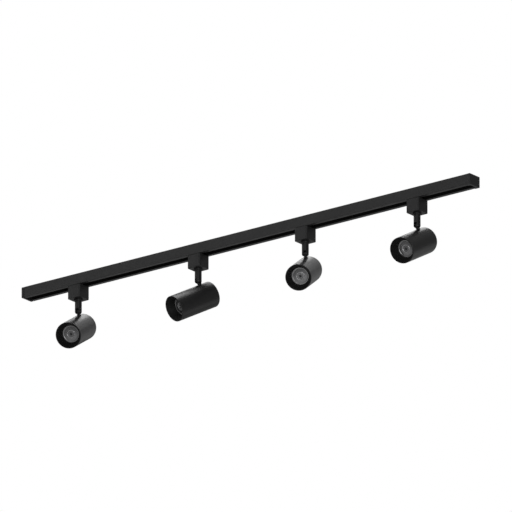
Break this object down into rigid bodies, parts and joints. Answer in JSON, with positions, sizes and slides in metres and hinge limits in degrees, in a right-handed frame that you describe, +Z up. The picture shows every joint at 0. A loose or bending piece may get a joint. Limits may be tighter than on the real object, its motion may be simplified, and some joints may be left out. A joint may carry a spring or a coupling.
{
  "type": "track lighting fixture",
  "caption": "Straight ceiling track with end caps and cylinder spot heads on sliding twist-lock adapters; each head pans and tilts on a short stem.",
  "frame": {"origin": "middle of the overall length, on the track's top face, which sits on the ceiling", "axes": "+X along the track towards the live end, -Y front, +Z up into the ceiling"},
  "size_m": [1.2192, 0.1198, 0.1795],
  "materials": {
    "track_coat": "satin black powder coat",
    "head_coat": "satin black powder coat",
    "stem_coat": "satin black powder coat on steel",
    "black_plastic": "fine moulded texture",
    "baffle_black": "matte",
    "insulator": "matte extruded",
    "copper": "bare copper strip",
    "screw_steel": "black oxide",
    "lens_plastic": "clear optical plastic, gloss",
    "led_board": "white board with a yellow chip"
  },
  "bodies": {
    "track": {"track_channel": "track_coat", "front_insulator": "insulator", "rear_insulator": "insulator", "live_conductor": "copper", "neutral_conductor": "copper", "terminal_block": "insulator", "live_end_cap": "black_plastic", "dead_end_cap": "black_plastic"},
    "adapter_1": {"adapter_housing_1": "black_plastic", "adapter_plug_1": "insulator", "live_contact_1": "copper", "neutral_contact_1": "copper"},
    "lock_1": {"lock_tab_1": "black_plastic"},
    "stem_1": {"stem_1": "stem_coat", "hinge_screw_1": "screw_steel"},
    "head_1": {"hinge_arm_1": "stem_coat", "head_tube_1": "head_coat", "rear_cap_1": "black_plastic", "baffle_1": "baffle_black", "lens_1": "lens_plastic", "led_module_1": "led_board"},
    "adapter_2": {"adapter_housing_2": "black_plastic", "adapter_plug_2": "insulator", "live_contact_2": "copper", "neutral_contact_2": "copper"},
    "lock_2": {"lock_tab_2": "black_plastic"},
    "stem_2": {"stem_2": "stem_coat", "hinge_screw_2": "screw_steel"},
    "head_2": {"hinge_arm_2": "stem_coat", "head_tube_2": "head_coat", "rear_cap_2": "black_plastic", "baffle_2": "baffle_black", "lens_2": "lens_plastic", "led_module_2": "led_board"},
    "adapter_3": {"adapter_housing_3": "black_plastic", "adapter_plug_3": "insulator", "live_contact_3": "copper", "neutral_contact_3": "copper"},
    "lock_3": {"lock_tab_3": "black_plastic"},
    "stem_3": {"stem_3": "stem_coat", "hinge_screw_3": "screw_steel"},
    "head_3": {"hinge_arm_3": "stem_coat", "head_tube_3": "head_coat", "rear_cap_3": "black_plastic", "baffle_3": "baffle_black", "lens_3": "lens_plastic", "led_module_3": "led_board"},
    "adapter_4": {"adapter_housing_4": "black_plastic", "adapter_plug_4": "insulator", "live_contact_4": "copper", "neutral_contact_4": "copper"},
    "lock_4": {"lock_tab_4": "black_plastic"},
    "stem_4": {"stem_4": "stem_coat", "hinge_screw_4": "screw_steel"},
    "head_4": {"hinge_arm_4": "stem_coat", "head_tube_4": "head_coat", "rear_cap_4": "black_plastic", "baffle_4": "baffle_black", "lens_4": "lens_plastic", "led_module_4": "led_board"}
  },
  "joints": [
    {"name": "adapter_1_slide", "type": "slide", "parent": "track", "child": "adapter_1", "axis": [1, 0, 0], "range_m": [-0.1, 0.07]},
    {"name": "lock_1_pull", "type": "slide", "parent": "adapter_1", "child": "lock_1", "axis": [0, 0, 1], "range_m": [-0.0042, 0], "stiffness_N_per_m": 300, "springref_m": 0.002},
    {"name": "head_1_pan", "type": "hinge", "parent": "adapter_1", "child": "stem_1", "pos_m": [-0.466, 0, -0.08025], "axis": [0, 0, 1], "range_deg": [-192.3, 157.7]},
    {"name": "head_1_tilt", "type": "hinge", "parent": "stem_1", "child": "head_1", "pos_m": [-0.466, 0, -0.08025], "axis": [-0.9548, -0.2974, 0], "range_deg": [-62, 28]},
    {"name": "adapter_2_slide", "type": "slide", "parent": "track", "child": "adapter_2", "axis": [1, 0, 0], "range_m": [-0.07, 0.05]},
    {"name": "lock_2_pull", "type": "slide", "parent": "adapter_2", "child": "lock_2", "axis": [0, 0, 1], "range_m": [-0.0042, 0], "stiffness_N_per_m": 300, "springref_m": 0.002},
    {"name": "head_2_pan", "type": "hinge", "parent": "adapter_2", "child": "stem_2", "pos_m": [-0.138, 0, -0.08025], "axis": [0, 0, 1], "range_deg": [-153.7, 196.3]},
    {"name": "head_2_tilt", "type": "hinge", "parent": "stem_2", "child": "head_2", "pos_m": [-0.138, 0, -0.08025], "axis": [-0.9317, 0.3633, 0], "range_deg": [-62, 28]},
    {"name": "adapter_3_slide", "type": "slide", "parent": "track", "child": "adapter_3", "axis": [1, 0, 0], "range_m": [-0.05, 0.055]},
    {"name": "lock_3_pull", "type": "slide", "parent": "adapter_3", "child": "lock_3", "axis": [0, 0, 1], "range_m": [-0.0042, 0], "stiffness_N_per_m": 300, "springref_m": 0.002},
    {"name": "head_3_pan", "type": "hinge", "parent": "adapter_3", "child": "stem_3", "pos_m": [0.153, 0, -0.08025], "axis": [0, 0, 1], "range_deg": [-198.4, 151.6]},
    {"name": "head_3_tilt", "type": "hinge", "parent": "stem_3", "child": "head_3", "pos_m": [0.153, 0, -0.08025], "axis": [-0.9178, -0.3971, 0], "range_deg": [-62, 28]},
    {"name": "adapter_4_slide", "type": "slide", "parent": "track", "child": "adapter_4", "axis": [1, 0, 0], "range_m": [-0.055, 0.09]},
    {"name": "lock_4_pull", "type": "slide", "parent": "adapter_4", "child": "lock_4", "axis": [0, 0, 1], "range_m": [-0.0042, 0], "stiffness_N_per_m": 300, "springref_m": 0.002},
    {"name": "head_4_pan", "type": "hinge", "parent": "adapter_4", "child": "stem_4", "pos_m": [0.4545, 0, -0.08025], "axis": [0, 0, 1], "range_deg": [-179.5, 170.5]},
    {"name": "head_4_tilt", "type": "hinge", "parent": "stem_4", "child": "head_4", "pos_m": [0.4545, 0, -0.08025], "axis": [-0.9969, -0.0785, 0], "range_deg": [-62, 28]}
  ]
}
